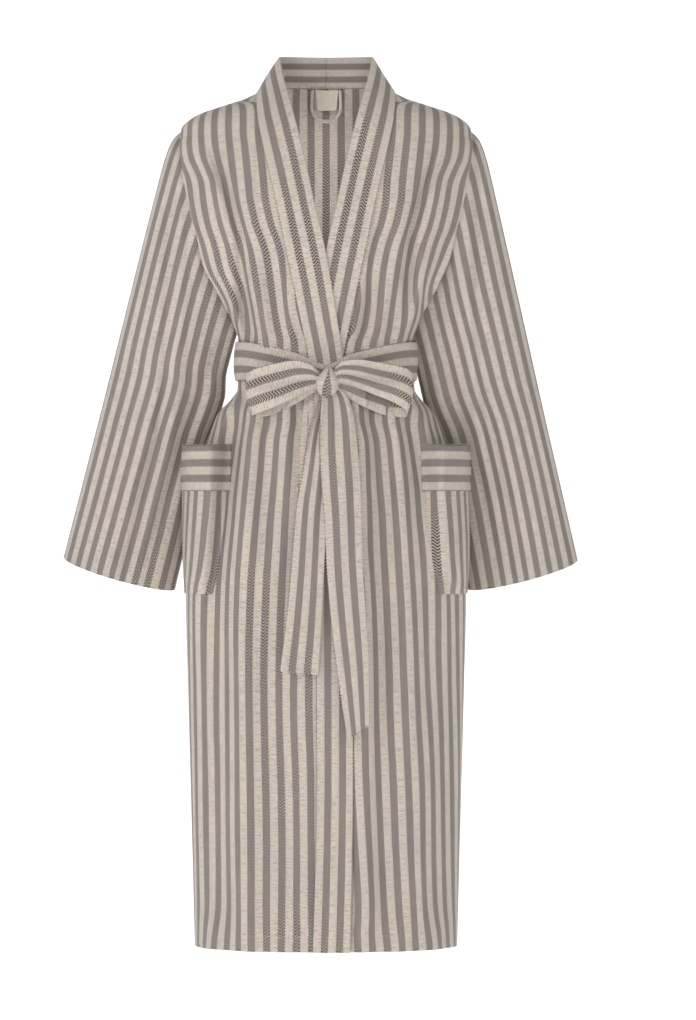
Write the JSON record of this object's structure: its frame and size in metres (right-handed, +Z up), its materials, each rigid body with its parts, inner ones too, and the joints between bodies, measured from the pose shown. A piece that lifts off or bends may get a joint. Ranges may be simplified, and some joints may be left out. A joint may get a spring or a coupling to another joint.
{
  "type": "bathrobe",
  "caption": "Kimono-style wrap bathrobe in striped woven cotton with a shawl neckband, straight sleeves, patch pockets and a belt tied in a bow.",
  "frame": {"origin": "middle of the neck opening, on the plane of the side seams and level with the seam between the back panel and the neckband", "axes": "+Z up, the robe hanging along -Z; +X to the wearer's left; the robe faces -Y"},
  "size_m": [0.6937, 0.2469, 1.185],
  "materials": {
    "striped_cloth": "matte",
    "piping_cloth": "matte",
    "carrier_thread": "matte",
    "label_cloth": "matte"
  },
  "bodies": {
    "robe": {"back_panel": "striped_cloth", "front_panel_right": "striped_cloth", "front_panel_left": "striped_cloth", "neckband_right": "striped_cloth", "neckband_left": "striped_cloth", "neckband_back": "striped_cloth", "pocket_right": "striped_cloth", "pocket_left": "striped_cloth", "pocket_cuff_right": "striped_cloth", "pocket_cuff_left": "striped_cloth", "belt_waist": "striped_cloth", "belt_knot": "striped_cloth", "belt_loop_right": "carrier_thread", "belt_loop_left": "carrier_thread"},
    "sleeve_right": {"sleeve_right": "striped_cloth"},
    "sleeve_left": {"sleeve_left": "striped_cloth"},
    "wrap_flap": {"wrap_flap_panel": "striped_cloth", "wrap_flap_band": "striped_cloth"},
    "tail_right": {"belt_tail_right": "striped_cloth"},
    "tail_left": {"belt_tail_left": "striped_cloth"},
    "bow_right": {"belt_bow_right": "striped_cloth"},
    "bow_left": {"belt_bow_left": "striped_cloth"},
    "hanger_loop": {"hanger_loop": "piping_cloth"},
    "neck_label": {"neck_label": "label_cloth"}
  },
  "joints": [
    {"name": "sleeve_right_lift", "type": "hinge", "parent": "robe", "child": "sleeve_right", "pos_m": [-0.199, 0, -0.062], "axis": [0, 1, 0], "range_deg": [0, 45]},
    {"name": "sleeve_left_lift", "type": "hinge", "parent": "robe", "child": "sleeve_left", "pos_m": [0.199, 0, -0.062], "axis": [0, -1, 0], "range_deg": [0, 45]},
    {"name": "wrap_flap_open", "type": "hinge", "parent": "robe", "child": "wrap_flap", "pos_m": [-0.185, 0, -0.9], "axis": [0, 0, -1], "range_deg": [0, 50]},
    {"name": "tail_right_lift", "type": "hinge", "parent": "robe", "child": "tail_right", "pos_m": [-0.006, -0.0925, -0.417], "axis": [-1, 0, 0], "range_deg": [0, 60]},
    {"name": "tail_left_lift", "type": "hinge", "parent": "robe", "child": "tail_left", "pos_m": [0.006, -0.0925, -0.417], "axis": [-1, 0, 0], "range_deg": [0, 60]},
    {"name": "bow_right_swing", "type": "hinge", "parent": "robe", "child": "bow_right", "pos_m": [-0.017, -0.101, -0.4], "axis": [0, 0, 1], "range_deg": [0, 50]},
    {"name": "bow_left_swing", "type": "hinge", "parent": "robe", "child": "bow_left", "pos_m": [0.017, -0.101, -0.4], "axis": [0, 0, -1], "range_deg": [0, 50]},
    {"name": "hanger_loop_flip", "type": "hinge", "parent": "robe", "child": "hanger_loop", "pos_m": [0, 0.049, -0.001], "axis": [-1, 0, 0], "range_deg": [0, 170]},
    {"name": "neck_label_flip", "type": "hinge", "parent": "robe", "child": "neck_label", "pos_m": [0, 0.0534, -0.001], "axis": [-1, 0, 0], "range_deg": [0, 100]}
  ]
}
